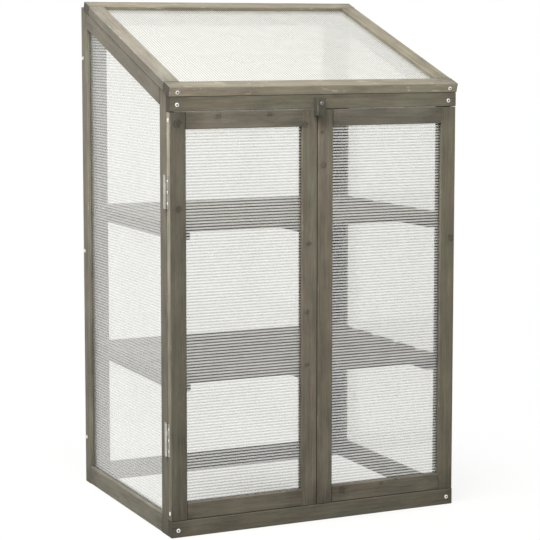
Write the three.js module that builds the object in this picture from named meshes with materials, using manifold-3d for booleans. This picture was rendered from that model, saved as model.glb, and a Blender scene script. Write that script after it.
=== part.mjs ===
// A wooden mini greenhouse: a three-tier cold frame of grey stained fir, glazed with twin-wall sheet.
// Two side panels with sloping tops, a back panel, a lintel and a plinth make the carcass. Two slatted
// shelves rest on cleats, two doors close the front, a turn button holds them, and a hinged lid is the roof.
// Units are millimetres and +Z is up. The front faces -Y, and the origin is the bottom centre of the box
// round the whole object.

import * as THREE from "three";
import { mergeVertices } from "three/addons/utils/BufferGeometryUtils.js";
import Module from "manifold-3d";

const wasm = await Module();
wasm.setup();

// Driving dimensions of the carcass. Until the last lines, y is 0 at the front edge of the side panels.
const HEIGHT = 1200;
const SIDE_SPAN = 722;
const SIDE_DEPTH = 560;

// The stock that every frame is made from
const TIMBER = 20;
const FACE = 38;
const FOOT_FACE = 44;
const ARRIS = 1.5;

// The twin-wall glazing sheet and the groove that holds it. The real sheet has a flute every 6.6 mm, and
// each flute here stands for three of them.
const SHEET = 4;
const SKIN = 0.5;
const WEB = 0.8;
const FLUTE_PITCH = 3 * 6.6;
const GROOVE = 4.6;
const GROOVE_DEPTH = 8;
const TONGUE = 4;
const HOUSED = 7;

// Clearances: between pieces that touch, and behind and between the doors
const SEAT = 0.3;
const DOOR_BACK_GAP = 2.6;
const DOOR_END_GAP = 1.2;

// The lid's top face in the y-z plane, and its section
const LID_FRONT_Y = -29;
const LID_FRONT_Z = 1006;
const LID_REAR_Y = 530;
const LID_THICK = 22;
const LID_WIDTH = 726;
const LID_OPENING = THREE.MathUtils.degToRad(50);
const PITCH = Math.atan2(HEIGHT - LID_FRONT_Z, LID_REAR_Y - LID_FRONT_Y);

// The front rails, which lie across the edges of the side panels
const FRONT_RAIL_THICK = TIMBER + DOOR_BACK_GAP - SEAT;
const PLINTH_HEIGHT = 38;
const LINTEL_BOTTOM = 953;
const LINTEL_HEIGHT = 42;

// The shelves and what they rest on
const SHELF_HEIGHTS = { lower: 341, upper: 683 };
const SLATS = 5;
const SLAT_WIDTH = 82;
const SLAT_GAP = 29;
const SLAT_THICK = 18;
const SLAT_LENGTH = 678;
const BATTEN_THICK = 16;
const BATTEN_SINK = 0.5;
const SHELF_FRONT_Y = 8;
const CLEAT_HEIGHT = 16;
const CLEAT_LENGTH = 528;

// Butt hinges
const BARREL_RADIUS = 3.2;
const PIN_RADIUS = 1.4;
const BORE_RADIUS = 1.7;
const LEAF_THICK = 1.5;
const KNUCKLES = 5;
const KNUCKLE_GAP = 0.4;
const LEAF_HOLE_RADIUS = 1.9;
const DOOR_HINGE = { length: 75, leafWidth: 15, holes: 3 };
const LID_HINGE = { length: 60, leafWidth: 13.5, holes: 2 };
const DOOR_HINGE_HEIGHTS = { lower: 221, upper: 776 };
const LID_HINGE_X = 220;

// Turn button and its screw
const BUTTON_WIDTH = 21;
const BUTTON_THICK = 20;
const BUTTON_ABOVE_PIVOT = 13;
const BUTTON_BELOW_PIVOT = 27;
const BUTTON_PIVOT_Z = 966;

// Lid stay: a thin flat bar that turns on the lid's right edge. Its far end has a hole, which is sprung
// over a stud on the side panel to hold the lid open.
const STAY_WIDTH = 10;
const STAY_THICK = 2;
const STAY_PIVOT_ALONG_LID = 335;
const STAY_PIVOT_BELOW_TOP = 8;
const STUD_HOLE_RADIUS = 3;
const STUD_RADIUS = 2.5;
const STUD_HEIGHT = 1.7;
const STUD_Y = 250;

// Screws with pan heads
const SHANK_RADIUS = 2.2;
const SHANK_HOLE_RADIUS = 2.5;
const HEAD_RADIUS = 4.8;
const HEAD_HEIGHT = 2;
const SCREW_BITE = 16;
const PILOT_SLACK = 1;
const ROUND_SIDES = 12;

// Finishes
const timberFinish = { color: "#7d7466", roughness: 0.82, metalness: 0 };
const shelfFinish = { color: "#8b8274", roughness: 0.85, metalness: 0 };
const sheetFinish = { color: "#e9ebe4", roughness: 0.25, metalness: 0, transparent: true, opacity: 0.45 };
const zincFinish = { color: "#c6c6c0", roughness: 0.35, metalness: 0.9 };

const root = new THREE.Group();

// Working with solids

function solidOf(geometry) {
  const bare = geometry.clone();
  for (const name of ["normal", "uv"]) bare.deleteAttribute(name);
  const merged = mergeVertices(bare, 1e-4);
  return new wasm.Manifold(
    new wasm.Mesh({
      numProp: 3,
      vertProperties: new Float32Array(merged.attributes.position.array),
      triVerts: new Uint32Array(merged.index.array),
    }),
  );
}

function geometryOf(solid) {
  const mesh = solid.getMesh();
  const geometry = new THREE.BufferGeometry();
  geometry.setAttribute("position", new THREE.BufferAttribute(mesh.vertProperties, 3));
  geometry.setIndex(new THREE.BufferAttribute(mesh.triVerts, 1));
  geometry.computeVertexNormals();
  return geometry;
}

function join(...geometries) {
  return geometryOf(geometries.map(solidOf).reduce((a, b) => a.add(b)));
}

function cut(geometry, ...tools) {
  return geometryOf(tools.map(solidOf).reduce((a, b) => a.subtract(b), solidOf(geometry)));
}

// A box from its lowest and highest corners
function boxBetween(low, high) {
  const size = high.map((value, i) => value - low[i]);
  return new THREE.BoxGeometry(...size).translate(...low.map((value, i) => value + size[i] / 2));
}

// A cylinder along Z between two heights
function rod(radius, bottom, top) {
  return new THREE.CylinderGeometry(radius, radius, top - bottom, ROUND_SIDES)
    .rotateX(Math.PI / 2)
    .translate(0, 0, (bottom + top) / 2);
}

function add(parent, name, geometry, finish) {
  const mesh = new THREE.Mesh(geometry, new THREE.MeshStandardMaterial(finish));
  mesh.name = name;
  parent.add(mesh);
  return mesh;
}

// Timber

// The section of a planed board: its face runs along x from 0, its thickness is centred on y, and its long
// arrises are eased. A grooved board has a groove for the sheet along the middle of its far edge.
function timberSection(face, thickness, grooved) {
  const half = thickness / 2;
  const section = new THREE.Shape();
  section.moveTo(ARRIS, -half);
  section.lineTo(face - ARRIS, -half);
  section.lineTo(face, ARRIS - half);
  if (grooved) {
    section.lineTo(face, -GROOVE / 2);
    section.lineTo(face - GROOVE_DEPTH, -GROOVE / 2);
    section.lineTo(face - GROOVE_DEPTH, GROOVE / 2);
    section.lineTo(face, GROOVE / 2);
  }
  section.lineTo(face, half - ARRIS);
  section.lineTo(face - ARRIS, half);
  section.lineTo(ARRIS, half);
  section.lineTo(0, half - ARRIS);
  section.lineTo(0, ARRIS - half);
  return section;
}

// A board of that section, its length along z
function timber(face, thickness, length, grooved = false) {
  return new THREE.ExtrudeGeometry(timberSection(face, thickness, grooved), {
    depth: length,
    bevelEnabled: false,
  });
}

// The stub tenons of a rail, made as one tongue that runs right through it and out past both shoulders
function tongueThrough(face, length) {
  return boxBetween(
    [ARRIS, -TONGUE / 2, -HOUSED],
    [face - GROOVE_DEPTH - 1, TONGUE / 2, length + HOUSED],
  );
}

// A grooved rail with a stub tenon at each end
function tenonedRail(face, thickness, length) {
  return join(timber(face, thickness, length, true), tongueThrough(face, length));
}

// Glazing

// Twin-wall sheet: two skins held apart by webs. The flutes run along x from end to end, the webs are
// stacked up z, and the thickness is centred on y.
function twinWallSheet([startX, bottomZ], [endX, topZ]) {
  const half = SHEET / 2;
  const count = Math.floor((topZ - bottomZ - WEB) / FLUTE_PITCH);
  const lowestWeb = (bottomZ + topZ - count * FLUTE_PITCH) / 2;
  const flutes = Array.from({ length: count }, (_, i) => {
    const web = lowestWeb + i * FLUTE_PITCH;
    return boxBetween(
      [startX - SHEET, SKIN - half, web + WEB / 2],
      [endX + SHEET, half - SKIN, web + FLUTE_PITCH - WEB / 2],
    );
  });
  return cut(boxBetween([startX, -half, bottomZ], [endX, half, topZ]), ...flutes);
}

// A rectangular frame round one sheet, in its own x-z plane with its corner at the origin. The stiles run
// the full height and the rails butt between them.
function framedPanel({ names, width, height, thickness, stile, bottomRail, topRail, finish }) {
  const panel = new THREE.Group();
  const between = width - 2 * stile - 2 * SEAT;
  add(panel, names.left, timber(stile, thickness, height, true), finish);
  const right = add(panel, names.right, timber(stile, thickness, height, true), finish);
  right.rotation.z = Math.PI;
  right.position.x = width;
  const bottom = add(panel, names.bottom, tenonedRail(bottomRail, thickness, between), finish);
  bottom.rotation.y = -Math.PI / 2;
  bottom.position.x = width - stile - SEAT;
  const top = add(panel, names.top, tenonedRail(topRail, thickness, between), finish);
  top.rotation.y = Math.PI / 2;
  top.position.set(stile + SEAT, 0, height);
  const sheet = twinWallSheet(
    [stile - HOUSED, bottomRail - HOUSED],
    [width - stile + HOUSED, height - topRail + HOUSED],
  );
  add(panel, names.sheet, sheet, sheetFinish);
  return panel;
}

// Height of the lid's underside over a point y of the carcass
function undersideZ(y) {
  return LID_FRONT_Z + (y - LID_FRONT_Y) * Math.tan(PITCH) - LID_THICK / Math.cos(PITCH);
}

// Side panels. Each is drawn with x running back, z up and its thickness on y.

const sideTopZ = (x) => undersideZ(x) - SEAT / Math.cos(PITCH);

// Everything above a line that is parallel to the lid and passes the panel's front edge at a height
function aboveSlope(frontZ, halfWidth = TIMBER) {
  return boxBetween([-300, -halfWidth, 0], [900, halfWidth, 400])
    .rotateY(-PITCH)
    .translate(0, 0, frontZ);
}

function sideStile(frontX, facesBack) {
  const board = timber(FACE, TIMBER, HEIGHT, true);
  if (!facesBack) board.rotateZ(Math.PI);
  board.translate(frontX, 0, 0);
  return cut(board, aboveSlope(sideTopZ(0)));
}

// The top rail lies along the slope, its shoulders are sawn upright against the stiles, and its tongues
// enter their grooves.
function slopedRail() {
  const shoulder = FACE + SEAT;
  const frontTop = sideTopZ(0);
  const alongSlope = (geometry) =>
    geometry
      .translate(0, 0, -FACE)
      .rotateY(Math.PI / 2 - PITCH)
      .translate(0, 0, frontTop);
  const length = (SIDE_DEPTH + 2 * FACE) / Math.cos(PITCH);
  const within = (geometry, low, high) =>
    geometryOf(solidOf(geometry).intersect(solidOf(boxBetween([low, -TIMBER, 0], [high, TIMBER, HEIGHT]))));
  const body = alongSlope(timber(FACE, TIMBER, length, true));
  const tongue = alongSlope(tongueThrough(FACE, length));
  return join(
    within(body, shoulder, SIDE_DEPTH - shoulder),
    within(tongue, FACE - HOUSED, SIDE_DEPTH - FACE + HOUSED),
  );
}

function sideSheet() {
  const front = FACE - HOUSED;
  const rear = SIDE_DEPTH - front;
  const drop = front / Math.cos(PITCH);
  const sheet = twinWallSheet([front, FOOT_FACE - HOUSED], [rear, sideTopZ(rear) - drop]);
  return cut(sheet, aboveSlope(sideTopZ(0) - drop));
}

function sidePanel(side) {
  const panel = new THREE.Group();
  add(panel, `${side}_front_stile`, sideStile(0, true), timberFinish);
  add(panel, `${side}_rear_stile`, sideStile(SIDE_DEPTH, false), timberFinish);
  const foot = add(
    panel,
    `${side}_bottom_rail`,
    tenonedRail(FOOT_FACE, TIMBER, SIDE_DEPTH - 2 * FACE - 2 * SEAT),
    timberFinish,
  );
  foot.rotation.y = -Math.PI / 2;
  foot.position.x = SIDE_DEPTH - FACE - SEAT;
  add(panel, `${side}_sloped_rail`, slopedRail(), timberFinish);
  add(panel, `${side}_side_sheet`, sideSheet(), sheetFinish);
  panel.rotation.z = Math.PI / 2;
  panel.position.x = ((side === "left" ? -1 : 1) * (SIDE_SPAN - TIMBER)) / 2;
  return panel;
}

for (const side of ["left", "right"]) root.add(sidePanel(side));

// Back panel, which stands between the side panels with its rear face flush with their rear edges

const BACK_WIDTH = SIDE_SPAN - 2 * TIMBER - 2 * SEAT;
const BACK_FRONT_Y = SIDE_DEPTH - TIMBER;
const BACK_HEIGHT = Math.floor(undersideZ(BACK_FRONT_Y));

const back = framedPanel({
  names: {
    left: "back_left_stile",
    right: "back_right_stile",
    bottom: "back_bottom_rail",
    top: "back_top_rail",
    sheet: "back_sheet",
  },
  width: BACK_WIDTH,
  height: BACK_HEIGHT,
  thickness: TIMBER,
  stile: FACE,
  bottomRail: FOOT_FACE,
  topRail: FACE,
  finish: timberFinish,
});
back.position.set(-BACK_WIDTH / 2, BACK_FRONT_Y + TIMBER / 2, 0);
root.add(back);

// Lintel and plinth, screwed across the front edges of the side panels. Each is a board along -X with its
// face up. The lintel's top is planed to the lid's slope, and it has a pilot hole for the button's screw.

function frontRail(name, geometry, bottom) {
  const rail = add(root, name, geometry, timberFinish);
  rail.rotation.y = -Math.PI / 2;
  rail.position.set(SIDE_SPAN / 2, -SEAT - FRONT_RAIL_THICK / 2, bottom);
}

frontRail("front_plinth", timber(PLINTH_HEIGHT, FRONT_RAIL_THICK, SIDE_SPAN), 0);

const sidePanelAxes = new THREE.Matrix4().makeBasis(
  new THREE.Vector3(0, 1, 0),
  new THREE.Vector3(0, 0, 1),
  new THREE.Vector3(1, 0, 0),
);
const aboveLintel = aboveSlope(sideTopZ(0) - LINTEL_BOTTOM, 2 * SIDE_SPAN)
  .applyMatrix4(sidePanelAxes)
  .translate(0, SEAT + FRONT_RAIL_THICK / 2, 0);
const pilot = rod(SHANK_HOLE_RADIUS, -SCREW_BITE - PILOT_SLACK, FRONT_RAIL_THICK)
  .rotateX(Math.PI / 2)
  .translate(BUTTON_PIVOT_Z - LINTEL_BOTTOM, -FRONT_RAIL_THICK / 2, SIDE_SPAN / 2);
const lintelBoard = timber(LINTEL_HEIGHT, FRONT_RAIL_THICK, SIDE_SPAN);
frontRail("front_lintel", cut(lintelBoard, aboveLintel, pilot), LINTEL_BOTTOM);

// Shelves: slats held together by a batten across the middle. The slats' ends rest on cleats that are
// screwed to the stiles of the side panels.

function shelf() {
  const depth = SLATS * SLAT_WIDTH + (SLATS - 1) * SLAT_GAP;
  const slats = Array.from({ length: SLATS }, (_, i) =>
    timber(SLAT_WIDTH, SLAT_THICK, SLAT_LENGTH)
      .rotateX(Math.PI / 2)
      .rotateZ(Math.PI / 2)
      .translate(-SLAT_LENGTH / 2, i * (SLAT_WIDTH + SLAT_GAP), SLAT_THICK / 2),
  );
  const batten = timber(FACE, BATTEN_THICK + BATTEN_SINK, depth)
    .rotateX(-Math.PI / 2)
    .translate(-FACE / 2, 0, (BATTEN_SINK - BATTEN_THICK) / 2);
  return join(...slats, batten);
}

for (const [tier, height] of Object.entries(SHELF_HEIGHTS)) {
  add(root, `${tier}_shelf`, shelf(), shelfFinish).position.set(0, SHELF_FRONT_Y, height + SEAT);
  for (const [side, sign] of [["left", -1], ["right", 1]]) {
    const cleat = add(
      root,
      `${tier}_${side}_cleat`,
      timber(FACE, CLEAT_HEIGHT, CLEAT_LENGTH).rotateX(-Math.PI / 2),
      timberFinish,
    );
    const middle = SIDE_SPAN / 2 - TIMBER - SEAT - FACE / 2;
    const front = (SIDE_DEPTH - TIMBER - CLEAT_LENGTH) / 2;
    cleat.position.set(sign * middle - FACE / 2, front, height - CLEAT_HEIGHT / 2);
  }
}

// Doors. Both hang on the outer faces of the side panels and meet in the middle.

const DOOR_WIDTH = SIDE_SPAN / 2 - 1;
const DOOR_BOTTOM = PLINTH_HEIGHT + DOOR_END_GAP;
const DOOR_HEIGHT = LINTEL_BOTTOM - DOOR_END_GAP - DOOR_BOTTOM;

for (const [side, cornerX] of [["left", -SIDE_SPAN / 2], ["right", SIDE_SPAN / 2 - DOOR_WIDTH]]) {
  const outer = side === "left" ? "left" : "right";
  const inner = side === "left" ? "right" : "left";
  const door = framedPanel({
    names: {
      [outer]: `${side}_door_hinge_stile`,
      [inner]: `${side}_door_meeting_stile`,
      bottom: `${side}_door_bottom_rail`,
      top: `${side}_door_top_rail`,
      sheet: `${side}_door_sheet`,
    },
    width: DOOR_WIDTH,
    height: DOOR_HEIGHT,
    thickness: TIMBER,
    stile: FACE,
    bottomRail: FACE,
    topRail: FACE,
    finish: timberFinish,
  });
  door.position.set(cornerX, -DOOR_BACK_GAP - TIMBER / 2, DOOR_BOTTOM);
  root.add(door);
}

// Lid. It is drawn as a framed panel whose x runs up the slope, whose y is the lid's upward normal and
// whose z runs to the right, so its front and rear rails are the members that run through.

const lidBasis = new THREE.Matrix4().makeBasis(
  new THREE.Vector3(0, Math.cos(PITCH), Math.sin(PITCH)),
  new THREE.Vector3(0, -Math.sin(PITCH), Math.cos(PITCH)),
  new THREE.Vector3(1, 0, 0),
);
const LID_LENGTH = Math.hypot(HEIGHT - LID_FRONT_Z, LID_REAR_Y - LID_FRONT_Y);

const lid = framedPanel({
  names: {
    left: "lid_front_rail",
    right: "lid_rear_rail",
    bottom: "lid_left_rail",
    top: "lid_right_rail",
    sheet: "lid_sheet",
  },
  width: LID_LENGTH,
  height: LID_WIDTH,
  thickness: LID_THICK,
  stile: FACE,
  bottomRail: FACE,
  topRail: FACE,
  finish: timberFinish,
});
lid.quaternion.setFromRotationMatrix(lidBasis);
lid.position
  .set(-LID_WIDTH / 2, LID_FRONT_Y, LID_FRONT_Z)
  .addScaledVector(new THREE.Vector3(0, -Math.sin(PITCH), Math.cos(PITCH)), -LID_THICK / 2);
root.add(lid);

// Butt hinges. Each is drawn with its pin on z. The fixed leaf runs along +x and its wood is on the -y
// side, and the moving leaf is turned from it by an angle.

function leaf({ length, leafWidth, holes }, moving) {
  const pitch = length / KNUCKLES;
  const span = (i) => [i * pitch - length / 2 + KNUCKLE_GAP / 2, (i + 1) * pitch - length / 2 - KNUCKLE_GAP / 2];
  const own = Array.from({ length: KNUCKLES }, (_, i) => i).filter((i) => (i % 2 === 1) === moving);
  const edge = BARREL_RADIUS + KNUCKLE_GAP;
  const plate = boxBetween(
    [edge, -BARREL_RADIUS, KNUCKLE_GAP / 2 - length / 2],
    [leafWidth, LEAF_THICK - BARREL_RADIUS, length / 2 - KNUCKLE_GAP / 2],
  );
  const tabs = own.map((i) => {
    const [low, high] = span(i);
    return boxBetween([0, -BARREL_RADIUS, low], [edge + 1, LEAF_THICK - BARREL_RADIUS, high]);
  });
  const barrels = own.map((i) => rod(BARREL_RADIUS, ...span(i)));
  const screwHoles = Array.from({ length: holes }, (_, i) =>
    rod(LEAF_HOLE_RADIUS, -length, length)
      .rotateX(Math.PI / 2)
      .translate((edge + leafWidth) / 2, 0, ((i + 0.5) / holes - 0.5) * length),
  );
  const body = cut(join(plate, ...tabs, ...barrels), ...screwHoles);
  if (moving) return cut(body, rod(BORE_RADIUS, -length, length));
  return join(body, rod(PIN_RADIUS, KNUCKLE_GAP / 2 - length / 2, length / 2 - KNUCKLE_GAP / 2));
}

function buttHinge(name, size, openAngle, basis, position, owners) {
  const hinge = new THREE.Group();
  add(hinge, `${name}_${owners.fixed}_leaf`, leaf(size, false), zincFinish);
  const moving = leaf(size, true).scale(1, -1, 1);
  moving.index.array.reverse();
  moving.computeVertexNormals();
  add(hinge, `${name}_${owners.moving}_leaf`, moving, zincFinish).rotation.z = openAngle;
  hinge.quaternion.setFromRotationMatrix(basis);
  hinge.position.copy(position);
  root.add(hinge);
}

const doorOwners = { fixed: "frame", moving: "door" };
const doorHingeX = SIDE_SPAN / 2 + SEAT + BARREL_RADIUS;
for (const [side, sign] of [["left", -1], ["right", 1]]) {
  const back = new THREE.Vector3(0, 1, 0);
  const outward = new THREE.Vector3(sign, 0, 0);
  const basis = new THREE.Matrix4().makeBasis(back, outward, back.clone().cross(outward));
  for (const [level, height] of Object.entries(DOOR_HINGE_HEIGHTS)) {
    const position = new THREE.Vector3(sign * doorHingeX, -DOOR_BACK_GAP / 2, height);
    buttHinge(`${side}_${level}_hinge`, DOOR_HINGE, Math.PI, basis, position, doorOwners);
  }
}

// The lid's hinges sit in the corner between the top of the back panel and the rear face of the lid.
const lidPinZ = BACK_HEIGHT + SEAT + BARREL_RADIUS;
const lidRearReach = LID_REAR_Y * Math.cos(PITCH) + HEIGHT * Math.sin(PITCH) + SEAT + BARREL_RADIUS;
const lidPinY = (lidRearReach - lidPinZ * Math.sin(PITCH)) / Math.cos(PITCH);
const lidHingeBasis = new THREE.Matrix4().makeBasis(
  new THREE.Vector3(0, 1, 0),
  new THREE.Vector3(0, 0, 1),
  new THREE.Vector3(1, 0, 0),
);
for (const [side, sign] of [["left", -1], ["right", 1]])
  buttHinge(
    `lid_${side}_hinge`,
    LID_HINGE,
    Math.PI / 2 + PITCH,
    lidHingeBasis,
    new THREE.Vector3(sign * LID_HINGE_X, lidPinY, lidPinZ),
    { fixed: "frame", moving: "lid" },
  );

// Turn button, a block of timber that turns on one screw in the lintel

const buttonBackY = -DOOR_BACK_GAP - TIMBER - SEAT;
const facingFront = (geometry) => geometry.rotateX(Math.PI / 2);

const block = timber(BUTTON_WIDTH, BUTTON_THICK, BUTTON_ABOVE_PIVOT + BUTTON_BELOW_PIVOT).translate(
  -BUTTON_WIDTH / 2,
  0,
  -BUTTON_BELOW_PIVOT,
);
const buttonHole = facingFront(rod(SHANK_RADIUS + 0.25, -BUTTON_THICK, BUTTON_THICK));
add(root, "turn_button", cut(block, buttonHole), timberFinish).position.set(
  0,
  buttonBackY - BUTTON_THICK / 2,
  BUTTON_PIVOT_Z,
);

// A pan-head screw along z: the head's underside is at 0, the shank runs down, and a cross slot is cut.
function screw(shankLength) {
  const head = new THREE.LatheGeometry(
    [
      [0, 0],
      [HEAD_RADIUS, 0],
      [HEAD_RADIUS, HEAD_HEIGHT * 0.45],
      [HEAD_RADIUS * 0.7, HEAD_HEIGHT],
      [0, HEAD_HEIGHT],
    ].map(([radius, height]) => new THREE.Vector2(radius, height)),
    ROUND_SIDES,
  ).rotateX(Math.PI / 2);
  const slots = [0, Math.PI / 2].map((turn) =>
    boxBetween([-HEAD_RADIUS * 0.55, -0.5, HEAD_HEIGHT * 0.5], [HEAD_RADIUS * 0.55, 0.5, HEAD_HEIGHT * 2]).rotateZ(turn),
  );
  return cut(join(head, rod(SHANK_RADIUS, -shankLength, HEAD_HEIGHT * 0.4)), ...slots);
}

const buttonScrew = add(root, "button_screw", screw(BUTTON_THICK + SCREW_BITE), zincFinish);
buttonScrew.rotation.x = Math.PI / 2;
buttonScrew.position.set(0, buttonBackY - BUTTON_THICK - SEAT, BUTTON_PIVOT_Z);

// Lid stay. Its pivot is on the right edge of the lid, and with the lid closed it lies along that edge.
// Points here are in the y-z plane, as x and y of a Vector2.

const slope = new THREE.Vector2(Math.cos(PITCH), Math.sin(PITCH));
const normal = new THREE.Vector2(-Math.sin(PITCH), Math.cos(PITCH));
const stayPivot = new THREE.Vector2(LID_FRONT_Y, LID_FRONT_Z)
  .addScaledVector(slope, STAY_PIVOT_ALONG_LID)
  .addScaledVector(normal, -STAY_PIVOT_BELOW_TOP);
const lidPin = new THREE.Vector2(lidPinY, lidPinZ);
const pivotWhenOpen = stayPivot.clone().rotateAround(lidPin, -LID_OPENING);
const stud = new THREE.Vector2(STUD_Y, sideTopZ(STUD_Y) - FACE / 2 / Math.cos(PITCH));
const STAY_REACH = pivotWhenOpen.distanceTo(stud);
const stayInnerX = LID_WIDTH / 2 + SEAT;

function stayBar() {
  const half = STAY_WIDTH / 2;
  const outline = new THREE.Shape();
  outline.absarc(0, 0, half, Math.PI / 2, (3 * Math.PI) / 2);
  outline.absarc(STAY_REACH, 0, half, -Math.PI / 2, Math.PI / 2);
  const bar = new THREE.ExtrudeGeometry(outline, {
    depth: STAY_THICK,
    bevelEnabled: false,
    curveSegments: ROUND_SIDES / 2,
  });
  const studHole = rod(STUD_HOLE_RADIUS, -STAY_THICK, 2 * STAY_THICK).translate(STAY_REACH, 0, 0);
  return cut(bar, rod(SHANK_HOLE_RADIUS, -STAY_THICK, 2 * STAY_THICK), studHole);
}

// x of the bar points down the lid's edge to the front, and z points out to the right
const stayBasis = new THREE.Matrix4().makeBasis(
  new THREE.Vector3(0, -slope.x, -slope.y),
  new THREE.Vector3(0, slope.y, -slope.x),
  new THREE.Vector3(1, 0, 0),
);
const stay = add(root, "lid_stay", stayBar(), zincFinish);
stay.quaternion.setFromRotationMatrix(stayBasis);
stay.position.set(stayInnerX, stayPivot.x, stayPivot.y);

const outToRight = (geometry) => geometry.rotateY(Math.PI / 2);
add(root, "stay_screw", outToRight(screw(STAY_THICK + SCREW_BITE)), zincFinish).position.set(
  stayInnerX + STAY_THICK + SEAT,
  stayPivot.x,
  stayPivot.y,
);

// The stud stands on the sloped rail of the right side panel.
add(root, "stay_stud", outToRight(rod(STUD_RADIUS, 0, STUD_HEIGHT)), zincFinish).position.set(
  SIDE_SPAN / 2 + SEAT,
  stud.x,
  stud.y,
);

// The stay's screw turns in a hole in the lid's right rail, bored in the rail's own frame: x down from
// its outer edge, y up through its thickness and z along the lid from its front shoulder.
const rightRail = root.getObjectByName("lid_right_rail");
root.updateMatrixWorld(true);
const bore = outToRight(rod(SHANK_HOLE_RADIUS, -SCREW_BITE - PILOT_SLACK, HEAD_RADIUS))
  .translate(stayInnerX, stayPivot.x, stayPivot.y)
  .applyMatrix4(rightRail.matrixWorld.clone().invert());
rightRail.geometry = cut(rightRail.geometry, bore);

// The front of the screw head and the rear edges of the panels are the ends of the box round the object.
const frontY = buttonBackY - BUTTON_THICK - SEAT - HEAD_HEIGHT;
root.position.y = -(frontY + SIDE_DEPTH) / 2;

const greenhouse = new THREE.Group();
greenhouse.add(root);
export default greenhouse;
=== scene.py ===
# A wooden mini greenhouse: two side panels, a back panel, a lintel and a plinth of grey-brown stained fir,
# glazed with clear twin-wall sheet, with two slatted shelves, two doors, a turn button and a sloping lid.
# Lengths are metres, +Z is up and the doors face -Y.
import math

import bmesh
import bpy
import numpy as np
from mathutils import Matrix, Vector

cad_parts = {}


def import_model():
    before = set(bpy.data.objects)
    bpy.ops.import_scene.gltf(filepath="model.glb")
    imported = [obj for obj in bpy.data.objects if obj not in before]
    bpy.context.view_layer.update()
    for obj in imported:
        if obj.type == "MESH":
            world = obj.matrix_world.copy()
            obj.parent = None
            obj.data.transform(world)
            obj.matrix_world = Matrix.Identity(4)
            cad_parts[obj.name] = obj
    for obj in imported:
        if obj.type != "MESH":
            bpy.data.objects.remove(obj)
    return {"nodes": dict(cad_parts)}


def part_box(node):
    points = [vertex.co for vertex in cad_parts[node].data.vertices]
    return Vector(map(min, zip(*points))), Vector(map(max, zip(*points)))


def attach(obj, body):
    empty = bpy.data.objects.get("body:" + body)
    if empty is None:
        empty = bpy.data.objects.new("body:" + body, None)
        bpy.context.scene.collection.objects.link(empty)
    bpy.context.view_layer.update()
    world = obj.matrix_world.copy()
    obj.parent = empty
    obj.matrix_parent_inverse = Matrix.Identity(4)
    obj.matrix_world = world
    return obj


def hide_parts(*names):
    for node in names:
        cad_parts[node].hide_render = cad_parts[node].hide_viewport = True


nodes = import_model()["nodes"]
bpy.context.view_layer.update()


# Camera: it stands to the front left with a long lens, a little above the foot of the lid's slope, and
# frames the greenhouse below the lens axis. The focal length and the axis are in pixels of the photograph.
CAMERA_YAW = 24.912
CAMERA_PITCH = 5.84
CAMERA_PLACE = (-1.8258, -3.9536, 1.1288)
FOCAL_PIXELS = 1809.7
FRAME_PIXELS = 540
AXIS_ROW = 216
SENSOR_MM = 36.0
FARTHEST_SEEN = 60

camera_data = bpy.data.cameras.new("camera")
camera_data.sensor_width = SENSOR_MM
camera_data.lens = FOCAL_PIXELS / FRAME_PIXELS * SENSOR_MM
camera_data.shift_y = (AXIS_ROW - FRAME_PIXELS / 2) / FRAME_PIXELS
camera_data.clip_end = FARTHEST_SEEN
camera = bpy.data.objects.new("camera", camera_data)
camera.location = CAMERA_PLACE
camera.rotation_euler = (math.radians(90 - CAMERA_PITCH), 0, math.radians(-CAMERA_YAW))
bpy.context.scene.collection.objects.link(camera)
bpy.context.scene.camera = camera


# Studio: a white paper floor in a white room, lit evenly, with one broad lamp above, to the left and in
# front. The camera sees the room as white, and the floor's own shading only near the greenhouse.
ROOM_LIGHT = 0.62
LAMP_WATTS = 100
LAMP_SIZE = 2.2
LAMP_PLACE = (-1.14, -1.07, 3.15)
LAMP_TILT = (math.radians(17.5), math.radians(-27.5), 0)
FLOOR_SIZE = 24
FLOOR_SHADING_SEEN = 0.7
FLOOR_SHADING_REACH = 1.2
FLOOR_SHADING_FALL = 3.0
FLOOR_BOUNCED = "#959593"
FLOOR_SEEN = "#f4f3ee"


def linear(hex_colour):
    """An sRGB hex colour as linear red, green and blue, with an alpha of 1."""
    values = [int(hex_colour[i : i + 2], 16) / 255 for i in (1, 3, 5)]
    return (*[v / 12.92 if v <= 0.04045 else ((v + 0.055) / 1.055) ** 2.4 for v in values], 1.0)


def add_node(tree, kind, settings=None, links=None, **inputs):
    """Adds a node, sets its properties and input values, and links the inputs that links names."""
    node = tree.nodes.new(kind)
    for key, value in (settings or {}).items():
        setattr(node, key, value)
    for key, value in inputs.items():
        node.inputs[key.replace("_", " ")].default_value = value
    for key, source in (links or {}).items():
        tree.links.new(source, node.inputs[key])
    return node


def calc(tree, operation, *values, clamp=False):
    """The result of a Math node, whose values are numbers or sockets."""
    node = add_node(tree, "ShaderNodeMath", {"operation": operation, "use_clamp": clamp})
    for i, value in enumerate(values):
        if isinstance(value, (int, float)):
            node.inputs[i].default_value = value
        else:
            tree.links.new(value, node.inputs[i])
    return node.outputs[0]


def new_material(name):
    """An empty material and its node tree."""
    material = bpy.data.materials.new(name)
    material.use_nodes = True
    material.node_tree.nodes.clear()
    return material, material.node_tree


def seen_directly(tree):
    """1 for rays that come straight from the camera or off something shiny or clear, and 0 for the rest."""
    path = add_node(tree, "ShaderNodeLightPath")
    shiny = calc(tree, "MAXIMUM", path.outputs["Is Glossy Ray"], path.outputs["Is Transmission Ray"])
    return calc(tree, "MAXIMUM", path.outputs["Is Camera Ray"], shiny)


bpy.context.scene.view_settings.view_transform = "Standard"
# A line of sight may cross three sheets, each with several clear surfaces.
bpy.context.scene.cycles.transparent_max_bounces = 48

room = bpy.data.worlds.new("white room")
room.use_nodes = True
bpy.context.scene.world = room
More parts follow.
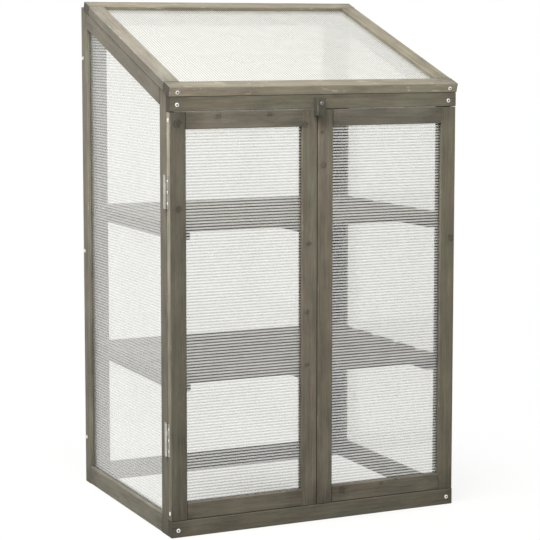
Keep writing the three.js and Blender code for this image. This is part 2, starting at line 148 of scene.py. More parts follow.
# The room and the floor look brighter to some rays than to others, so they aren't sampled as lamps.
room.cycles.sampling_method = "NONE"
tree = room.node_tree
tree.nodes.clear()
strength = add_node(
    tree, "ShaderNodeMapRange", links={"Value": seen_directly(tree)}, To_Min=ROOM_LIGHT, To_Max=1.0
)
white = add_node(
    tree, "ShaderNodeBackground", links={"Strength": strength.outputs[0]}, Color=linear("#ffffff")
)
add_node(tree, "ShaderNodeOutputWorld", links={"Surface": white.outputs[0]})

lamp_data = bpy.data.lights.new("broad lamp", "AREA")
lamp_data.energy = LAMP_WATTS
lamp_data.size = LAMP_SIZE
lamp = bpy.data.objects.new("broad lamp", lamp_data)
lamp.location = LAMP_PLACE
lamp.rotation_euler = LAMP_TILT
bpy.context.scene.collection.objects.link(lamp)

paper, tree = new_material("white paper floor")
paper.cycles.emission_sampling = "NONE"
seen = seen_directly(tree)
place = add_node(tree, "ShaderNodeTexCoord")
away = add_node(tree, "ShaderNodeVectorMath", {"operation": "LENGTH"}, {0: place.outputs["Object"]})
nearness = calc(tree, "MULTIPLY_ADD", away.outputs["Value"], -1 / FLOOR_SHADING_REACH, 1.0, clamp=True)
nearby = calc(tree, "POWER", nearness, FLOOR_SHADING_FALL)
shading = calc(tree, "MULTIPLY", nearby, FLOOR_SHADING_SEEN)
plain_share = calc(tree, "MULTIPLY", seen, calc(tree, "SUBTRACT", 1.0, shading))
sheet_white = add_node(tree, "ShaderNodeMix", {"data_type": "RGBA"}, {"Factor": seen})
sheet_white.inputs["A"].default_value = linear(FLOOR_BOUNCED)
sheet_white.inputs["B"].default_value = linear(FLOOR_SEEN)
matt = add_node(tree, "ShaderNodeBsdfDiffuse", links={"Color": sheet_white.outputs["Result"]})
plain = add_node(tree, "ShaderNodeEmission", Color=linear("#ffffff"), Strength=1.0)
mixed = add_node(
    tree, "ShaderNodeMixShader", links={"Fac": plain_share, 1: matt.outputs[0], 2: plain.outputs[0]}
)
add_node(tree, "ShaderNodeOutputMaterial", links={"Surface": mixed.outputs[0]})

corner = FLOOR_SIZE / 2
floor_mesh = bpy.data.meshes.new("floor")
floor_mesh.from_pydata(
    [(-corner, -corner, 0), (corner, -corner, 0), (corner, corner, 0), (-corner, corner, 0)],
    [],
    [(0, 1, 2, 3)],
)
floor_mesh.materials.append(paper)
floor = bpy.data.objects.new("floor", floor_mesh)
bpy.context.scene.collection.objects.link(floor)


# Boards: planed fir, 38 by 20 mm, soaked in a thin grey-brown stain. The grain stays faintly visible as
# streaks along each board, the stain goes on in blotches that lean to green or pink, sawn ends drink more of
# it, and the tone darkens towards the bottom. The eased arrises carry a faint painted highlight all along,
# and are worn pale in places.
front_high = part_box("lid_front_rail")[1]
rear_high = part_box("lid_rear_rail")[1]
PITCH = math.atan2(rear_high[2] - front_high[2], rear_high[1] - front_high[1])
# Each streak is its length along the grain, its width across it and its share in the tone.
STREAKS = ((0.014, 0.0012, 0.30), (0.05, 0.0026, 0.36), (0.25, 0.008, 0.36), (0.09, 0.03, 0.62))
RING_SPACING = 0.0062
RING_DEPTH = 0.10
RING_BEND = 7.0
# The rings' slant across the board, the length and width of their wandering, and how thin each line is.
RING_SLANT = 0.6
RING_WANDER = (0.5, 0.06)
RING_THIN = 4.0
HUE_PATCH = (0.10, 0.022)
HUE_SWING = 2.0
KNOT_SWIRL = 2.2
END_DARK = 0.25
END_SOAK = 0.26
SOAK_REACH = 0.075
SOAK_PATCH = (0.05, 0.02)
SOAK_UNEVEN = 1.3
SOAK_AT_END = 0.75
DARKENING_PER_METRE_DOWN = 0.16
EDGE_PAINTED_LIGHT_FADE = 0.48
DARKENING_BELOW_HEIGHT = 0.95
ARRIS_HIGHLIGHT = 0.05
CHIP_SIZE = 0.006
RELIEF = 0.00025
END_FACING = 0.8
ARRIS_FACING = 0.3
CHIP_LEVEL = 0.15
CHIP_PALE = 0.4
FIR_ROUGHNESS = 0.78
BUMP_STRENGTH = 0.5
# What the stain's darkest and palest ends do to a board's tone, and how far its blotches lean in hue.
DARKEST = (0.34, 0.33, 0.31)
PALEST = (1.75, 1.75, 1.78)
GREEN_LEAN = (0.94, 1.01, 0.975, 1)
PINK_LEAN = (1.06, 0.99, 1.01, 1)
# A knot is a dark ragged rim at its radius round a less dark heart, in a bell of slightly darker wood.
KNOT_BELL = 0.18
KNOT_RAGGED = 3.2
KNOT_RIM_AT = 0.95
KNOT_RIM_THIN = 9.0
KNOT_RIM_DARK = 0.42
KNOT_RIM_UNEVEN = 1.2
KNOT_RIM_SHARE = 0.8
KNOT_HEART_AT = 0.9
KNOT_HEART_DARK = 0.22
KNOT_BELL_DARK = 0.05
# How far one board's noise lies from the next board's, for each axis, and one slat's from the next slat's.
SEED_STEP = (1.37, 0.213, 0.171)
SLAT_SHIFT = 0.77
SLAT_TONE_RANGE = 0.2
GRAIN_AXES = {"x": (0, 1, 2), "y": (1, 2, 0), "z": (2, 0, 1), "slope": (1, 2, 0)}


def stained_fir(name, tone, along, seed, ends=None, knots=(), slats=None, darkening_down=DARKENING_PER_METRE_DOWN):
    """Fir in which x of a board's own space runs along the grain. The tone is the sum of streaks of noise
    stretched along x, thin ring lines across y and z that bend round each knot, the soaked ends, a darkening
    towards the bottom, and on the arrises a painted highlight and pale chips of wear. ends gives the middle
    and half the length of the board along x, and slats the first y and the pitch of boards in one piece.
    darkening_down is how much the tone darkens per metre down."""
    material, tree = new_material(name)
    place = add_node(tree, "ShaderNodeTexCoord")

    def in_board(vector):
        """A vector turned so that x runs along the grain."""
        if along == "slope":
            vector = add_node(
                tree, "ShaderNodeVectorRotate", {"rotation_type": "X_AXIS"}, {"Vector": vector}, Angle=-PITCH
            ).outputs[0]
        axes = add_node(tree, "ShaderNodeSeparateXYZ", links={0: vector})
        order = {i: axes.outputs[axis] for i, axis in enumerate(GRAIN_AXES[along])}
        return add_node(tree, "ShaderNodeCombineXYZ", links=order).outputs[0]

    def stretched_noise(vector, length, width, detail=2.0):
        """Noise about 0 whose marks have this length along the grain and this width across it."""
        scaled = add_node(tree, "ShaderNodeVectorMath", {"operation": "MULTIPLY"}, {0: vector})
        scaled.inputs[1].default_value = (1 / length, 1 / width, 1 / width)
        noise = add_node(
            tree, "ShaderNodeTexNoise", links={"Vector": scaled.outputs[0]}, Scale=1.0, Detail=detail
        )
        return calc(tree, "SUBTRACT", noise.outputs["Fac"], 0.5)

    own = in_board(place.outputs["Object"])
    moved = add_node(tree, "ShaderNodeVectorMath", {"operation": "ADD"}, {0: own})
    moved.inputs[1].default_value = tuple(seed * step for step in SEED_STEP)
    grain = moved.outputs[0]
    height = add_node(tree, "ShaderNodeSeparateXYZ", links={0: place.outputs["Object"]})
    # The tone darkens by a set share for each metre below a height.
    below = calc(tree, "MINIMUM", calc(tree, "SUBTRACT", height.outputs["Z"], DARKENING_BELOW_HEIGHT), 0.0)
    stain = calc(tree, "MULTIPLY_ADD", below, darkening_down, 0.5)
    if slats:
        first, pitch = slats
        pitches = calc(tree, "DIVIDE", calc(tree, "SUBTRACT", height.outputs["Y"], first), pitch)
        number = calc(tree, "FLOOR", pitches)
        chance = add_node(
            tree,
            "ShaderNodeTexWhiteNoise",
            {"noise_dimensions": "1D"},
            {"W": calc(tree, "ADD", number, seed)},
        )
        lift = add_node(tree, "ShaderNodeCombineXYZ", links={0: calc(tree, "MULTIPLY", number, SLAT_SHIFT)})
        grain = add_node(
            tree, "ShaderNodeVectorMath", {"operation": "ADD"}, {0: grain, 1: lift.outputs[0]}
        ).outputs[0]
        own_tone = calc(tree, "SUBTRACT", chance.outputs["Value"], 0.5)
        stain = calc(tree, "MULTIPLY_ADD", own_tone, SLAT_TONE_RANGE, stain)

    swirl = 0.0
    for x, y, z, radius in knots:
        away = add_node(
            tree, "ShaderNodeVectorMath", {"operation": "DISTANCE"}, {0: place.outputs["Object"]}
        )
        away.inputs[1].default_value = (x, y, z)
        near = calc(tree, "DIVIDE", away.outputs["Value"], radius)
        near_squared = calc(tree, "MULTIPLY", near, near)
        bell = calc(tree, "EXPONENT", calc(tree, "MULTIPLY", near_squared, -KNOT_BELL))
        swirl = calc(tree, "ADD", bell, swirl)
        edge_noise = stretched_noise(grain, radius, 0.6 * radius, 4)
        ragged = calc(tree, "MULTIPLY_ADD", edge_noise, KNOT_RAGGED, near)
        off_rim = calc(tree, "SUBTRACT", ragged, KNOT_RIM_AT)
        off_squared = calc(tree, "MULTIPLY", off_rim, off_rim)
        rim = calc(tree, "EXPONENT", calc(tree, "MULTIPLY", off_squared, -KNOT_RIM_THIN))
        heart = calc(tree, "SUBTRACT", KNOT_HEART_AT, ragged, clamp=True)
        rim_noise = stretched_noise(grain, 2.5 * radius, radius, 3)
        shade = calc(tree, "MULTIPLY_ADD", rim_noise, KNOT_RIM_UNEVEN, KNOT_RIM_SHARE, clamp=True)
        stain = calc(tree, "MULTIPLY_ADD", calc(tree, "MULTIPLY", rim, shade), -KNOT_RIM_DARK, stain)
        stain = calc(tree, "MULTIPLY_ADD", heart, -KNOT_HEART_DARK, stain)
        stain = calc(tree, "MULTIPLY_ADD", bell, -KNOT_BELL_DARK, stain)

    for length, width, share in STREAKS:
        stain = calc(tree, "MULTIPLY_ADD", stretched_noise(grain, length, width, 3), share, stain)
    axes = add_node(tree, "ShaderNodeSeparateXYZ", links={0: grain})
    across = calc(tree, "MULTIPLY_ADD", axes.outputs[2], RING_SLANT, axes.outputs[1])
    wander = stretched_noise(grain, *RING_WANDER)
    phase = calc(tree, "MULTIPLY_ADD", wander, RING_BEND, calc(tree, "DIVIDE", across, RING_SPACING))
    if knots:
        phase = calc(tree, "MULTIPLY_ADD", swirl, KNOT_SWIRL, phase)
    rings = calc(tree, "POWER", calc(tree, "FRACT", phase), RING_THIN)
    stain = calc(tree, "MULTIPLY_ADD", rings, -RING_DEPTH, stain)

    if ends:
        middle, half = ends
        along_own = add_node(tree, "ShaderNodeSeparateXYZ", links={0: own}).outputs[0]
        from_middle = calc(tree, "ABSOLUTE", calc(tree, "SUBTRACT", along_own, middle))
        from_end = calc(tree, "SUBTRACT", half, from_middle)
        soak_noise = stretched_noise(grain, *SOAK_PATCH, 3)
        uneven = calc(tree, "MULTIPLY_ADD", soak_noise, SOAK_UNEVEN, SOAK_AT_END)
        soak = calc(tree, "MULTIPLY_ADD", from_end, -1 / SOAK_REACH, uneven, clamp=True)
        stain = calc(tree, "MULTIPLY_ADD", soak, -END_SOAK, stain)

    normal = add_node(tree, "ShaderNodeSeparateXYZ", links={0: in_board(place.outputs["Normal"])})
    end = calc(tree, "GREATER_THAN", calc(tree, "ABSOLUTE", normal.outputs[0]), END_FACING)
    sideways = calc(tree, "ABSOLUTE", normal.outputs[1])
    upright = calc(tree, "ABSOLUTE", normal.outputs[2])
    arris = calc(tree, "GREATER_THAN", calc(tree, "MULTIPLY", sideways, upright), ARRIS_FACING)
    chips = calc(tree, "GREATER_THAN", stretched_noise(grain, 5 * CHIP_SIZE, CHIP_SIZE, 4), CHIP_LEVEL)
    # On the arrises the tone is lifted a little all along as a painted highlight, and more at pale chips of
    # wear.
    arris_highlight_and_chips = calc(tree, "MULTIPLY", arris, calc(tree, "MULTIPLY_ADD", chips, CHIP_PALE, ARRIS_HIGHLIGHT))
    stain = calc(tree, "MULTIPLY_ADD", end, -END_DARK, stain)
    stain = calc(tree, "ADD", stain, arris_highlight_and_chips, clamp=True)

    ramp = add_node(tree, "ShaderNodeValToRGB", links={"Fac": stain})
    base = np.array(linear(tone)[:3])
    stops = ramp.color_ramp.elements
    stops[0].color = (*(base * DARKEST), 1)
    stops[1].color = (*(base * PALEST), 1)
    stops.new(0.5).color = (*base, 1)
    lean = calc(tree, "MULTIPLY_ADD", stretched_noise(grain, *HUE_PATCH), HUE_SWING, 0.5, clamp=True)
    hue = add_node(tree, "ShaderNodeMix", {"data_type": "RGBA"}, {"Factor": lean})
    hue.inputs["A"].default_value = GREEN_LEAN
    hue.inputs["B"].default_value = PINK_LEAN
    tinted = add_node(
        tree,
        "ShaderNodeMix",
        {"data_type": "RGBA", "blend_type": "MULTIPLY"},
        {"A": ramp.outputs["Color"], "B": hue.outputs["Result"]},
    )
    tinted.inputs["Factor"].default_value = 1.0

    bump = add_node(
        tree, "ShaderNodeBump", links={"Height": stain}, Strength=BUMP_STRENGTH, Distance=RELIEF
    )
    shader = add_node(
        tree,
        "ShaderNodeBsdfPrincipled",
        links={"Base Color": tinted.outputs["Result"], "Normal": bump.outputs[0]},
        Roughness=FIR_ROUGHNESS,
    )
    add_node(tree, "ShaderNodeOutputMaterial", links={"Surface": shader.outputs[0]})
    return material


# Each board has its own tone, because boards from different trees take the stain differently. The tones also
# hold
# painted light and shade: the lid's boards are a little lighter as a painted sheen on its top, and the back
# right stile is darker as painted shade. Knots are centres on the board's face, with a radius.
BOARDS = {
    "left_front_stile": ("#7b7465", "z"),
    "left_rear_stile": ("#868070", "z"),
    "left_bottom_rail": ("#8f897a", "y"),
    "left_sloped_rail": ("#827c6e", "slope"),
    "right_front_stile": ("#7a7364", "z"),
    "right_rear_stile": ("#7f7869", "z"),
    "right_bottom_rail": ("#7a7364", "y"),
    "right_sloped_rail": ("#7f786a", "slope"),
    "back_left_stile": ("#7a7263", "z"),
    # Painted shade: this stile's dark tone stands in for the shade inside the greenhouse.
    "back_right_stile": ("#585247", "z"),
    "back_bottom_rail": ("#7e7768", "x"),
    "back_top_rail": ("#7a7263", "x"),
    "front_plinth": ("#716b5b", "x"),
    "front_lintel": ("#76705f", "x"),
    "left_door_hinge_stile": ("#6e6859", "z"),
    "left_door_meeting_stile": ("#7c7464", "z"),
    "left_door_bottom_rail": ("#766e5f", "x"),
    "left_door_top_rail": ("#776f61", "x"),
    "right_door_hinge_stile": ("#77715f", "z"),
    "right_door_meeting_stile": ("#7b7363", "z"),
    "right_door_bottom_rail": ("#766e5f", "x"),
    "right_door_top_rail": ("#726c5f", "x"),
    # Painted sheen: the lid's rails are toned a little lighter for the light on its top.
    "lid_front_rail": ("#7d7667", "x"),
    "lid_rear_rail": ("#7f7868", "x"),
    "lid_left_rail": ("#847e71", "slope"),
    "lid_right_rail": ("#847d6c", "slope"),
    "turn_button": ("#646154", "z"),
}
DOOR_FACE_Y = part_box("left_door_hinge_stile")[0][1]
KNOTS = {
    "left_door_hinge_stile": ((-0.3402, DOOR_FACE_Y, 0.7395, 0.0055), (-0.3445, DOOR_FACE_Y, 0.926, 0.007)),
    "left_door_meeting_stile": (
        (-0.0218, DOOR_FACE_Y, 0.6462, 0.004),
        (-0.0265, DOOR_FACE_Y, 0.4901, 0.004),
        (-0.0262, DOOR_FACE_Y, 0.3673, 0.004),
        (-0.0325, DOOR_FACE_Y, 0.918, 0.006),
    ),
    "right_door_meeting_stile": ((0.014, DOOR_FACE_Y, 0.825, 0.006), (0.012, DOOR_FACE_Y, 0.90, 0.003)),
    "right_door_hinge_stile": ((0.352, DOOR_FACE_Y, 0.643, 0.006),),
    "right_door_bottom_rail": (
        (0.0652, DOOR_FACE_Y, 0.065, 0.006),
        (0.1682, DOOR_FACE_Y, 0.0707, 0.004),
        (0.2084, DOOR_FACE_Y, 0.0784, 0.003),
    ),
    "left_door_top_rail": ((-0.245, DOOR_FACE_Y, 0.94, 0.006), (-0.12, DOOR_FACE_Y, 0.944, 0.005)),
}


def dress(node, *materials):
    """Gives a CAD node its materials."""
    mesh = nodes[node].data
    mesh.materials.clear()
    for material in materials:
        mesh.materials.append(material)


for seed, (node, (tone, along)) in enumerate(BOARDS.items(), 1):
    low, high = (np.array(corner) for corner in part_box(node))
    middle, half = (low + high) / 2, (high - low) / 2
    if along == "slope":
        ends = (middle[1] * math.cos(PITCH) + middle[2] * math.sin(PITCH), half[1] / math.cos(PITCH))
    else:
        axis = GRAIN_AXES[along][0]
        ends = (middle[axis], half[axis])
    dress(node, stained_fir(f"stained fir {node}", tone, along, seed, ends, KNOTS.get(node, ())))

# The doors' outer edges and the lid's front edge have a second material in a paler tone, which is painted
# light on these faces; on the doors it fades towards the bottom.
PAINTED_LIGHT_FACING = 0.9
DOOR_EDGE_FROM_X = 0.358
for side, seed in (("left", 31), ("right", 32)):
    mesh = nodes[f"{side}_door_hinge_stile"].data
    mesh.materials.append(stained_fir(f"painted light fir {side} door edge", "#bab29f", "z", seed, darkening_down=EDGE_PAINTED_LIGHT_FADE))
    for polygon in mesh.polygons:
        outer = polygon.normal.x * (-1 if side == "left" else 1)
        on_edge = abs(polygon.center.x) > DOOR_EDGE_FROM_X
        polygon.material_index = int(outer > PAINTED_LIGHT_FACING and on_edge)

# The lid's front face takes the paler tone as painted light.
mesh = nodes["lid_front_rail"].data
mesh.materials.append(stained_fir("painted light fir lid edge", "#a29985", "x", 33))
for polygon in mesh.polygons:
    polygon.material_index = int(polygon.normal.y < -PAINTED_LIGHT_FACING)


# Shelves: five slats across each, nailed to a batten along the middle, and resting on a cleat at each end.
# Slats and batten are one node, so the batten's faces are those that lie below the slats.
SLAT_PITCH = 0.111
SLAT_THICK = 0.018
BATTEN_SLACK = 0.0005
# The grain's slats are counted from a little before the first one, so that its edge isn't on a boundary.
SLAT_LEAD = 0.01
for seed, tier in enumerate(("lower", "upper"), 40):
    low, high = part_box(f"{tier}_shelf")
    slats = (low[1] - SLAT_LEAD, SLAT_PITCH)
    slat_wood = stained_fir(f"stained fir {tier} slats", "#938c7a", "x", seed, slats=slats)
    batten_wood = stained_fir(f"stained fir {tier} batten", "#857e6d", "y", seed + 10)
    dress(f"{tier}_shelf", slat_wood, batten_wood)
    for polygon in nodes[f"{tier}_shelf"].data.polygons:
        polygon.material_index = int(polygon.center.z < high[2] - SLAT_THICK - BATTEN_SLACK)
    for side, shift in (("left", 20), ("right", 30)):
        cleat_wood = stained_fir(f"stained fir {tier} {side} cleat", "#7e7767", "y", seed + shift)
        dress(f"{tier}_{side}_cleat", cleat_wood)


# Glazing: extruded clear twin-wall sheet, 4 mm thick, held in the frames' grooves. Two thin skins are held
# apart by ribs every 6.7 mm that flare where they meet the skins. The flutes run level in the walls and the
# doors, and down the slope in the lid.
FLUTE_PITCH = 0.0067
SHEET = 0.004
SKIN = 0.0004
RIB_FOOT = 0.0029
RIB_WAIST = 0.0010
RIB_WAIST_REACH = 0.4
DUST_PER_METRE = 14.0
DUST_SWING = 0.5
FROST_ROUGHNESS = 0.5
GLOSS_ROUGHNESS = 0.12
BLUE_PASSED = 0.993
# The share mirrored face on, and what is added to it at a slant.
SKIN_MIRRORS = (0.025, 0.96)
DOOR_MIRRORS = (0.04, 0.95)
RIB_MIRRORS = (0.015, 0.1)
X, Y, Z = 0, 1, 2
SIDES = (("left", "left_door"), ("right", "right_door"))


def clear_sheet(name, veil, absorbs, chalk_tint="#e8e8e2", frosted=0.75, mirrors=SKIN_MIRRORS):
    """Clear plastic whose surfaces mirror more at a slant (Schlick's law). veil is the share of light that
    a surface scatters, patchy with dust, frosted the part of the veil that is a soft gloss and not chalky,
    and absorbs the share of light that the surface takes away."""
    material, tree = new_material(name)
    slant = add_node(tree, "ShaderNodeLayerWeight", Blend=0.5).outputs["Facing"]
    mirrored = calc(tree, "MULTIPLY_ADD", calc(tree, "POWER", slant, 5.0), mirrors[1], mirrors[0])
    place = add_node(tree, "ShaderNodeTexCoord")
    dust = add_node(
        tree,
        "ShaderNodeTexNoise",
        links={"Vector": place.outputs["Object"]},
        Scale=DUST_PER_METRE,
        Detail=4.0,
    )
    least = (1 - DUST_SWING / 2) * veil
    patchy = calc(tree, "MULTIPLY_ADD", dust.outputs["Fac"], DUST_SWING * veil, least)
    passed = 1 - absorbs
    clear = add_node(tree, "ShaderNodeBsdfTransparent", Color=(passed, passed, BLUE_PASSED * passed, 1))
    chalk = add_node(tree, "ShaderNodeBsdfDiffuse", Color=linear(chalk_tint))
    frost = add_node(tree, "ShaderNodeBsdfGlossy", Color=linear("#ffffff"), Roughness=FROST_ROUGHNESS)
    haze = add_node(
        tree, "ShaderNodeMixShader", links={1: chalk.outputs[0], 2: frost.outputs[0]}, Fac=frosted
    )
    body = add_node(
        tree, "ShaderNodeMixShader", links={"Fac": patchy, 1: clear.outputs[0], 2: haze.outputs[0]}
    )
    gloss = add_node(tree, "ShaderNodeBsdfGlossy", Color=linear("#ffffff"), Roughness=GLOSS_ROUGHNESS)
    whole = add_node(
        tree, "ShaderNodeMixShader", links={"Fac": mirrored, 1: body.outputs[0], 2: gloss.outputs[0]}
    )
    add_node(tree, "ShaderNodeOutputMaterial", links={"Surface": whole.outputs[0]})
    return material


# How hazy each sheet is was fitted to the photograph, apart from the right side's, which it doesn't show
# from outside: that one lies between the left side's and the back's.
inner_skin = clear_sheet("clear polycarbonate inner skin", 0.0, 0.0)
door_sheet = (
    clear_sheet("clear polycarbonate door rib", 0.0, 0.10, mirrors=RIB_MIRRORS),
    clear_sheet("clear polycarbonate door skin", 0.29, 0.0, "#f4f4ee", 0.85, DOOR_MIRRORS),
    clear_sheet("clear polycarbonate door inner skin", 0.0, 0.0, mirrors=DOOR_MIRRORS),
)
left_sheet = (
    clear_sheet("clear polycarbonate side rib", 0.11, 0.022, mirrors=RIB_MIRRORS),
    clear_sheet("clear polycarbonate side skin", 0.20, 0.0),
    inner_skin,
)
right_sheet = (
    clear_sheet("clear polycarbonate right rib", 0.08, 0.025, mirrors=RIB_MIRRORS),
    clear_sheet("clear polycarbonate right skin", 0.13, 0.0),
    inner_skin,
)
back_sheet = (
    clear_sheet("clear polycarbonate back rib", 0.02, 0.012, mirrors=RIB_MIRRORS),
    clear_sheet("clear polycarbonate back skin", 0.07, 0.0),
    inner_skin,
)
lid_sheet = (
    clear_sheet("weathered polycarbonate lid rib", 0.36, 0.006, "#c6c6bf", 0.2, RIB_MIRRORS),
    clear_sheet("weathered polycarbonate lid skin", 0.60, 0.0, "#d1d1ca", 0.2),
    inner_skin,
)


def twin_wall(name, node, body, low, high, run, stack, sheet, start_at=None, turn=0.0):
    """A sheet between two corners, made of closed prisms that run along one axis and are stacked along
    another: an hourglass rib at each pitch, and a strip of skin between ribs on either face. sheet gives the
    materials of the ribs, of the skins' outward faces and of their other faces. start_at gives where a prism
    starts for its place in the stack, and turn tips the whole about X at its middle."""
    low, high = np.array(low), np.array(high)
    through = 3 - run - stack
    middle = (low + high) / 2
    half = SHEET / 2
    foot, waist = RIB_FOOT / 2, RIB_WAIST / 2
    inner = half - SKIN
    near = inner * RIB_WAIST_REACH
    right_side = [(foot, -half), (foot, -inner), (waist, -near), (waist, near), (foot, inner), (foot, half)]
    rib = np.array(right_side + [(-x, -y) for x, y in right_side])
    gap = FLUTE_PITCH - RIB_FOOT
    strip = np.array([(0, 0), (gap, 0), (gap, SKIN), (0, SKIN)])
    count = int((high[stack] - low[stack] - RIB_FOOT) / FLUTE_PITCH)
    first = middle[stack] - count * FLUTE_PITCH / 2
    ribs = first + FLUTE_PITCH * np.arange(count + 1)
    points, faces, slots = [], [], []
    total = 0
    strips = ribs[:-1] + foot
    # A layer is a profile, its places in the stack, its depth and which of its walls faces outward.
    layers = ((rib, ribs, 0, None), (strip, strips, -half, 0), (strip, strips, inner, 2))
    for profile, places, depth, outer in layers:
        sides = len(profile)
        pieces = len(places)
        ends = np.empty((pieces, 2, sides, 3))
        ends[..., stack] = places[:, None, None] + profile[:, 0]
        ends[..., through] = middle[through] + depth + profile[:, 1]
        ends[:, 0, :, run] = low[run] if start_at is None else start_at(ends[:, 0, :, stack])
        ends[:, 1, :, run] = high[run]
        points.append(ends.reshape(-1, 3))
        ring = np.arange(sides)
        after = (ring + 1) % sides
        walls = np.stack([ring, after, after + sides, ring + sides], 1)
        for piece in range(pieces):
            start = total + piece * 2 * sides
            faces += (walls + start).tolist()
            faces += [(ring[::-1] + start).tolist(), (ring + sides + start).tolist()]
        own = [0 if outer is None else 2] * (sides + 2)
        if outer is not None:
            own[outer] = 1
        slots += own * pieces
        total += pieces * 2 * sides
    points = np.concatenate(points) - middle
    cos, sin = math.cos(turn), math.sin(turn)
    points = points @ np.array([(1, 0, 0), (0, cos, sin), (0, -sin, cos)]) + middle
    mesh = bpy.data.meshes.new(name)
    mesh.from_pydata(points, [], faces)
    for material in sheet:
        mesh.materials.append(material)
    mesh.polygons.foreach_set("material_index", slots)
    work = bmesh.new()
    work.from_mesh(mesh)
    bmesh.ops.recalc_face_normals(work, faces=work.faces)
    work.to_mesh(mesh)
    work.free()
    piece = bpy.data.objects.new(name, mesh)
    bpy.context.scene.collection.objects.link(piece)
    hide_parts(node)
    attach(piece, body)


for side, door in SIDES:
    low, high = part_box(f"{side}_side_sheet")
    front_top = high[2] - (high[1] - low[1]) * math.tan(PITCH)

    def under_slope(heights, front=low[1], front_top=front_top):
        """The y where the sloping top edge reaches a height, or the front edge below that."""
        return front + np.maximum(heights - front_top, 0) / math.tan(PITCH)

    sheet = left_sheet if side == "left" else right_sheet
    twin_wall(f"{side}_side_pane", f"{side}_side_sheet", "carcass", low, high, Y, Z, sheet, under_slope)
    twin_wall(f"{door}_pane", f"{door}_sheet", door, *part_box(f"{door}_sheet"), X, Z, door_sheet)
twin_wall("back_pane", "back_sheet", "carcass", *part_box("back_sheet"), X, Z, back_sheet)

low, high = (np.array(corner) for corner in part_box("lid_sheet"))
lid_middle = (low + high) / 2
lid_half = (high - low) / 2
lid_half[1] = (lid_half[1] - SHEET / 2 * math.sin(PITCH)) / math.cos(PITCH)
lid_half[2] = SHEET / 2
twin_wall(
    "lid_pane", "lid_sheet", "lid", lid_middle - lid_half, lid_middle + lid_half, Y, X, lid_sheet, turn=PITCH
)


# Ironmongery: butt hinges, screws and the lid's stay are mild steel with a bright zinc plating, which is
# slightly cloudy and spangled.
SPANGLES_PER_METRE = 700.0
CLOUDS_PER_METRE = 90.0


def zinc_plate(name, dark, pale, roughness):
    """Zinc whose colour clouds between two hex values and whose roughness follows a fine spangle."""
    material, tree = new_material(name)
    place = add_node(tree, "ShaderNodeTexCoord")
    where = {"Vector": place.outputs["Object"]}
    spangle = add_node(tree, "ShaderNodeTexNoise", links=where, Scale=SPANGLES_PER_METRE, Detail=2.0)
    cloud = add_node(tree, "ShaderNodeTexNoise", links=where, Scale=CLOUDS_PER_METRE, Detail=3.0)
    dull = add_node(
        tree,
        "ShaderNodeMapRange",
        links={"Value": spangle.outputs["Fac"]},
        To_Min=roughness[0],
        To_Max=roughness[1],
    )
    plate = add_node(tree, "ShaderNodeValToRGB", links={"Fac": cloud.outputs["Fac"]})
    plate.color_ramp.elements[0].color = linear(dark)
    plate.color_ramp.elements[1].color = linear(pale)
    shader = add_node(
        tree,
        "ShaderNodeBsdfPrincipled",
        links={"Base Color": plate.outputs["Color"], "Roughness": dull.outputs[0]},
        Metallic=1.0,
    )
    add_node(tree, "ShaderNodeOutputMaterial", links={"Surface": shader.outputs[0]})
    return material


zinc = zinc_plate("bright zinc plate", "#9f9d95", "#d6d4cc", (0.24, 0.5))
head_zinc = zinc_plate("white zinc screw heads", "#dedcd5", "#f6f5f0", (0.4, 0.6))
dull_zinc = zinc_plate("stained zinc screw", "#55534b", "#a3a098", (0.35, 0.6))
for node in nodes:
    if node.endswith("leaf") or node in ("lid_stay", "stay_screw", "stay_stud"):
        dress(node, zinc)
dress("button_screw", dull_zinc)


# Screws: pan heads with a cross recess hold the boards together, and small ones hold the hinge leaves.
# The recesses carry painted shade, near black. A size is a head's radius, its height and its recess's depth.
PAN = (0.0046, 0.0016, 0.0011)
LEAF_SCREW = (0.0029, 0.0008, 0.0006)
HEAD_RINGS = 12
HEAD_SPOKES = 32
DOME_FALL = 0.6
ARM_HALF_WIDTH = 0.2
ARM_REACH = 0.62
HEAD_SINK = 0.0002
TURN_BETWEEN_HEADS = 0.7
FRONT_FACE_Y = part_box("front_lintel")[0][1]
SIDE_FACE_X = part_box("right_front_stile")[1][0]
REAR_FACE_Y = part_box("right_rear_stile")[1][1]
LEAF_PLATE = 0.0018
LEAF_ROW = 0.0057
LEAF_SCREW_PITCH = 0.025
FRONT_SCREWS = ((-0.3436, 0.9678), (0.3410, 0.9665), (-0.3454, 0.0165), (0.3454, 0.0185))
REAR_SCREW_HEIGHTS = (1.062, 0.585, 0.114)
REAR_SCREW_INSET = 0.0105
DOOR_SCREW_HEIGHTS = (0.9345, 0.0545)
LID_SCREW = (0.3435, -0.2826, 0.9949)
RECESS_SHADE_NOISE_PER_METRE = 900.0
RECESS_ROUGHNESS = 0.7

# Painted shade for the cross recesses: a near-black, mottled by noise.
recess, tree = new_material("painted shade screw recess")
recess_shade_noise = add_node(tree, "ShaderNodeTexNoise", Scale=RECESS_SHADE_NOISE_PER_METRE, Detail=2.0)
shade = add_node(tree, "ShaderNodeValToRGB", links={"Fac": recess_shade_noise.outputs["Fac"]})
shade.color_ramp.elements[0].color = linear("#1d1b17")
shade.color_ramp.elements[1].color = linear("#4a463d")
shader = add_node(
    tree,
    "ShaderNodeBsdfPrincipled",
    links={"Base Color": shade.outputs["Color"]},
    Roughness=RECESS_ROUGHNESS,
)
add_node(tree, "ShaderNodeOutputMaterial", links={"Surface": shader.outputs[0]})


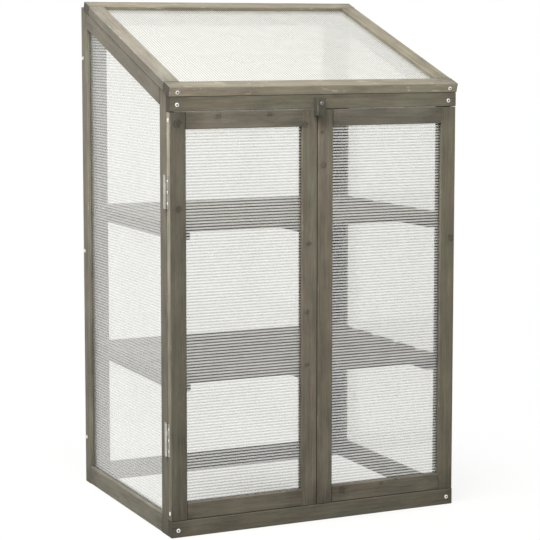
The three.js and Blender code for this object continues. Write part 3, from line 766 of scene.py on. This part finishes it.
def screw_heads(name, body, heads):
    """Heads on one body, each a place, an outward direction and a size. A head is a height over a disc:
    a dome that falls with the fourth power of the radius, less a cross-shaped recess."""
    spokes = np.arange(HEAD_SPOKES) / HEAD_SPOKES * 2 * np.pi
    radii = np.linspace(0, 1, HEAD_RINGS + 1)[1:]
    r, a = np.meshgrid(radii, spokes, indexing="ij")
    u = np.concatenate([[0], (r * np.cos(a)).ravel()])
    v = np.concatenate([[0], (r * np.sin(a)).ravel()])
    arm = np.minimum(abs(u), abs(v)) < ARM_HALF_WIDTH
    sunk = arm & (np.hypot(u, v) < ARM_REACH)
    ring = np.arange(HEAD_SPOKES)
    after = (ring + 1) % HEAD_SPOKES
    steps = (np.arange(HEAD_RINGS - 1) * HEAD_SPOKES)[:, None, None]
    cap = np.stack([np.zeros_like(ring), 1 + ring, 1 + after], 1)
    bands = np.stack([1 + ring, 1 + ring + HEAD_SPOKES, 1 + after + HEAD_SPOKES, 1 + after], 1)
    bands = (bands[None] + steps).reshape(-1, 4)
    last = 1 + (HEAD_RINGS - 1) * HEAD_SPOKES
    foot = len(u)
    skirt = np.stack([last + ring, foot + ring, foot + after, last + after], 1)
    pattern = cap.tolist() + bands.tolist() + skirt.tolist() + [(foot + ring[::-1]).tolist()]
    # Faces inside the cross recess take the painted shade.
    dark = [all(sunk[i] for i in face) for face in cap.tolist() + bands.tolist()]
    dark += [False] * (HEAD_SPOKES + 1)
    points, faces, slots = [], [], []
    for number, (place, outward, (radius, height, depth)) in enumerate(heads):
        w = height * (1 - DOME_FALL * np.hypot(u, v) ** 4) - depth * sunk
        spin = number * TURN_BETWEEN_HEADS
        cos, sin = np.cos(spin), np.sin(spin)
        flat = np.stack([u * cos - v * sin, u * sin + v * cos], 1) * radius
        top = np.column_stack([flat, w])
        rim = np.column_stack([flat[-HEAD_SPOKES:], np.full(HEAD_SPOKES, -HEAD_SINK)])
        shape = np.concatenate([top, rim])
        out = np.array(outward, float)
        side = np.cross((0, 0, 1), out) if abs(out[2]) < 0.9 else np.cross((0, 1, 0), out)
        side /= np.linalg.norm(side)
        basis = np.stack([side, np.cross(out, side), out])
        start = len(points) * len(shape)
        points.append(shape @ basis + place)
        faces += [[i + start for i in face] for face in pattern]
        slots += [int(d) for d in dark]
    mesh = bpy.data.meshes.new(name)
    mesh.from_pydata(np.concatenate(points), [], faces)
    mesh.materials.append(head_zinc)
    mesh.materials.append(recess)
    mesh.polygons.foreach_set("material_index", slots)
    piece = bpy.data.objects.new(name, mesh)
    bpy.context.scene.collection.objects.link(piece)
    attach(piece, body)


carcass_heads = [((x, FRONT_FACE_Y, z), (0, -1, 0), PAN) for x, z in FRONT_SCREWS]
lid_out = np.array([0, -math.cos(PITCH), -math.sin(PITCH)])
lid_heads = []
for sign, (side, door) in zip((-1, 1), SIDES):
    out = (sign, 0, 0)
    face_x = sign * SIDE_FACE_X
    rear_y = REAR_FACE_Y - REAR_SCREW_INSET
    carcass_heads += [((face_x, rear_y, z), out, PAN) for z in REAR_SCREW_HEIGHTS]
    lid_heads.append(((sign * LID_SCREW[0], *LID_SCREW[1:]), lid_out, PAN))
    edge_y = sum(corner[1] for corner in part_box(f"{door}_hinge_stile")) / 2
    door_heads = [((face_x, edge_y, z), out, PAN) for z in DOOR_SCREW_HEIGHTS]
    for level in ("lower", "upper"):
        for owner, heads, toward in (("frame", carcass_heads, 1), ("door", door_heads, -1)):
            low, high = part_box(f"{side}_{level}_hinge_{owner}_leaf")
            far = high[1] if toward > 0 else low[1]
            middle = (low[2] + high[2]) / 2
            leaf_x = sign * (SIDE_FACE_X + LEAF_PLATE)
            row_y = far - toward * LEAF_ROW
            for step in (-1, 0, 1):
                place = (leaf_x, row_y, middle + step * LEAF_SCREW_PITCH)
                heads.append((place, out, LEAF_SCREW))
    screw_heads(f"{door}_screws", door, door_heads)
screw_heads("carcass_screws", "carcass", carcass_heads)
screw_heads("lid_screws", "lid", lid_heads)
